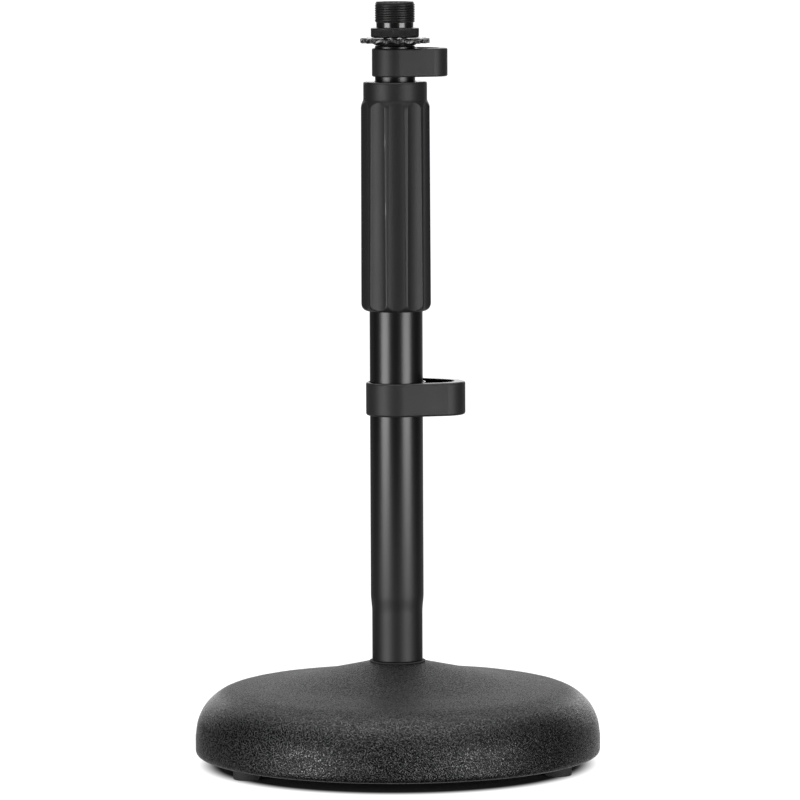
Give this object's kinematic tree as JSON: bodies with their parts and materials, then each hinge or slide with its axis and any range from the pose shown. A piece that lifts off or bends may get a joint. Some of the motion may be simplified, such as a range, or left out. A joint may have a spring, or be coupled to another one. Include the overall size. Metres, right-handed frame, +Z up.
{
  "type": "desktop microphone stand",
  "caption": "Round weighted base with a height-adjustable tube, quarter-turn clutch grip, threaded top with lock wheel, and cable clips.",
  "frame": {"origin": "on the floor under the middle of the round base, on the axis of the tubes", "axes": "+Z up along the tubes, +X the way the cable clips point, -Y the front"},
  "size_m": [0.1624, 0.1624, 0.3055],
  "materials": {
    "crinkle_coat": "fine crinkle powder coat on cast iron, semi-matt black",
    "gloss_tube": "gloss black enamel on steel tube",
    "satin_tube": "satin black enamel on steel tube",
    "black_oxide": "black plated steel",
    "grip_plastic": "moulded black plastic, fine grain",
    "clip_plastic": "moulded black plastic, satin",
    "foot_rubber": "matt black rubber",
    "gasket_fibre": "black fibre washer",
    "zinc_steel": "zinc plated steel",
    "turned_brass": "turned brass",
    "pale_nylon": "natural nylon"
  },
  "bodies": {
    "base": {"base_casting": "crinkle_coat", "foot_1": "foot_rubber", "foot_2": "foot_rubber", "foot_3": "foot_rubber", "base_bolt": "zinc_steel", "spring_washer": "zinc_steel", "flat_washer": "zinc_steel", "hub_gasket": "gasket_fibre", "tube_plug": "zinc_steel", "outer_tube": "gloss_tube", "clutch_ferrule": "turned_brass"},
    "clutch_press": {"collet": "pale_nylon"},
    "clutch_grip": {"grip_sleeve": "grip_plastic", "clutch_nut": "turned_brass"},
    "tube_slider": {"guide_bush": "pale_nylon"},
    "inner_tube": {"inner_tube": "satin_tube", "thread_stud": "zinc_steel"},
    "lock_wheel": {"lock_wheel": "black_oxide"},
    "thread_adapter": {"thread_adapter": "black_oxide"},
    "lower_clip": {"lower_cable_clip": "clip_plastic"},
    "upper_clip": {"upper_cable_clip": "clip_plastic"}
  },
  "joints": [
    {"name": "height_slide", "type": "slide", "parent": "base", "child": "tube_slider", "axis": [0, 0, 1], "range_m": [0, 0.1]},
    {"name": "tube_turn", "type": "hinge", "parent": "tube_slider", "child": "inner_tube", "pos_m": [0, 0, 0.18], "axis": [0, 0, 1], "continuous": true},
    {"name": "grip_turn", "type": "hinge", "parent": "clutch_press", "child": "clutch_grip", "pos_m": [0, 0, 0.228], "axis": [0, 0, 1], "range_deg": [0, 90]},
    {"name": "collet_press", "type": "slide", "parent": "base", "child": "clutch_press", "axis": [0, 0, 1], "range_m": [0, 0.0004]},
    {"name": "lock_wheel_turn", "type": "hinge", "parent": "inner_tube", "child": "lock_wheel", "pos_m": [0, 0, 0.29], "axis": [0, 0, 1], "range_deg": [0, 90]},
    {"name": "adapter_lift", "type": "slide", "parent": "inner_tube", "child": "thread_adapter", "axis": [0, 0, 1], "range_m": [0, 0.0105]},
    {"name": "lower_clip_turn", "type": "hinge", "parent": "base", "child": "lower_clip", "pos_m": [0, 0, 0.1475], "axis": [0, 0, 1], "continuous": true},
    {"name": "upper_clip_turn", "type": "hinge", "parent": "inner_tube", "child": "upper_clip", "pos_m": [0, 0, 0.2815], "axis": [0, 0, 1], "continuous": true}
  ],
  "couplings": [
    {"joint": "collet_press", "follows": "grip_turn", "m_per_rad": 0.00025}
  ]
}
